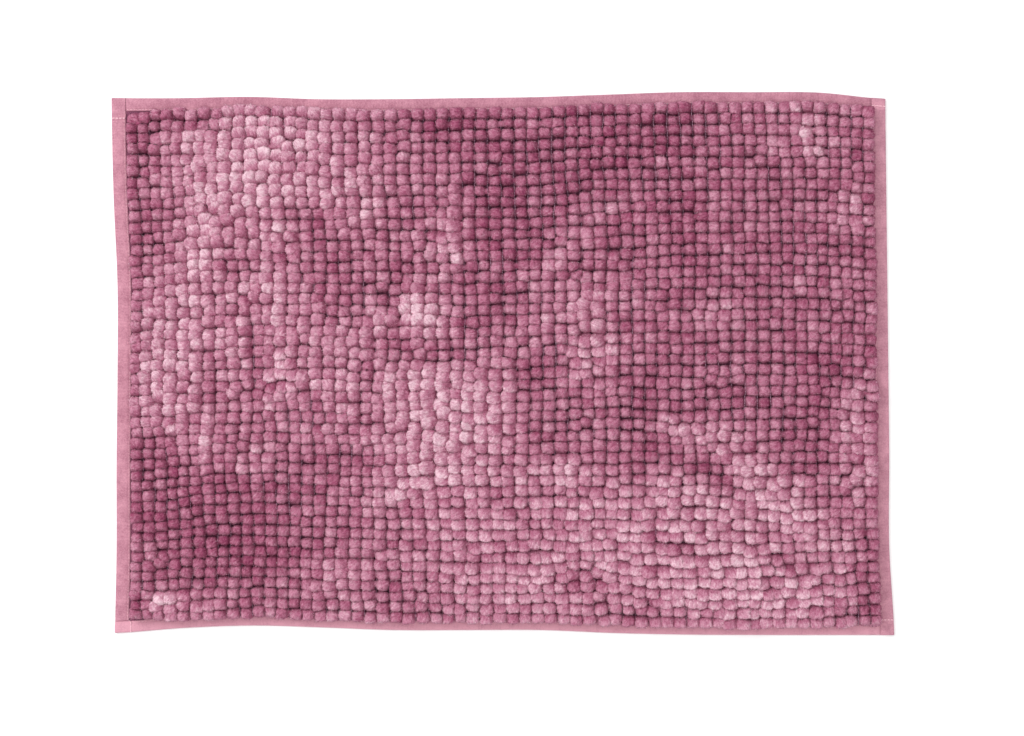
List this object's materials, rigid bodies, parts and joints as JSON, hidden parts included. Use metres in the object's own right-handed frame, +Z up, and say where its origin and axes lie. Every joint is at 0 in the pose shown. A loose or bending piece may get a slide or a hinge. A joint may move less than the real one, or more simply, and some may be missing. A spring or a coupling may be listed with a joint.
{
  "type": "bath mat",
  "caption": "Rectangular chenille bobble bath mat: rows of tufted yarn on a knitted base cloth with a rubber coat under it, edged by folded and stitched binding tape.",
  "frame": {"origin": "the middle of the mat's bounding box, on the floor it lies on", "axes": "+X along the long side, +Y along the short side towards the back edge, +Z up out of the pile"},
  "size_m": [0.605, 0.4196, 0.015],
  "materials": {
    "chenille_pile": "soft matt polyester chenille",
    "base_cloth": "knitted polyester",
    "binding_tape": "woven polyester tape",
    "seam_thread": "spun polyester sewing thread",
    "rubber_coat": "matt latex coat"
  },
  "bodies": {
    "root": {"rubber_coat": "rubber_coat", "base_cloth": "base_cloth", "binding_tape_back": "binding_tape", "seam_thread_back": "seam_thread", "binding_tape_left": "binding_tape", "seam_thread_left": "seam_thread", "binding_tape_front": "binding_tape", "seam_thread_front": "seam_thread", "binding_tape_right": "binding_tape", "seam_thread_right": "seam_thread", "pile_row_01": "chenille_pile", "pile_row_02": "chenille_pile", "pile_row_03": "chenille_pile", "pile_row_04": "chenille_pile", "pile_row_05": "chenille_pile", "pile_row_06": "chenille_pile", "pile_row_07": "chenille_pile", "pile_row_08": "chenille_pile", "pile_row_09": "chenille_pile", "pile_row_10": "chenille_pile", "pile_row_11": "chenille_pile", "pile_row_12": "chenille_pile", "pile_row_13": "chenille_pile", "pile_row_14": "chenille_pile", "pile_row_15": "chenille_pile", "pile_row_16": "chenille_pile", "pile_row_17": "chenille_pile", "pile_row_18": "chenille_pile", "pile_row_19": "chenille_pile", "pile_row_20": "chenille_pile", "pile_row_21": "chenille_pile", "pile_row_22": "chenille_pile", "pile_row_23": "chenille_pile", "pile_row_24": "chenille_pile", "pile_row_25": "chenille_pile", "pile_row_26": "chenille_pile", "pile_row_27": "chenille_pile", "pile_row_28": "chenille_pile", "pile_row_29": "chenille_pile", "pile_row_30": "chenille_pile", "pile_row_31": "chenille_pile", "pile_row_32": "chenille_pile", "pile_row_33": "chenille_pile", "pile_row_34": "chenille_pile", "pile_row_35": "chenille_pile", "pile_row_36": "chenille_pile", "pile_row_37": "chenille_pile", "pile_row_38": "chenille_pile", "pile_row_39": "chenille_pile", "pile_row_40": "chenille_pile", "pile_row_41": "chenille_pile", "pile_row_42": "chenille_pile", "pile_row_43": "chenille_pile", "pile_row_44": "chenille_pile", "pile_row_45": "chenille_pile", "pile_row_46": "chenille_pile", "pile_row_47": "chenille_pile", "pile_row_48": "chenille_pile"}
  },
  "joints": []
}
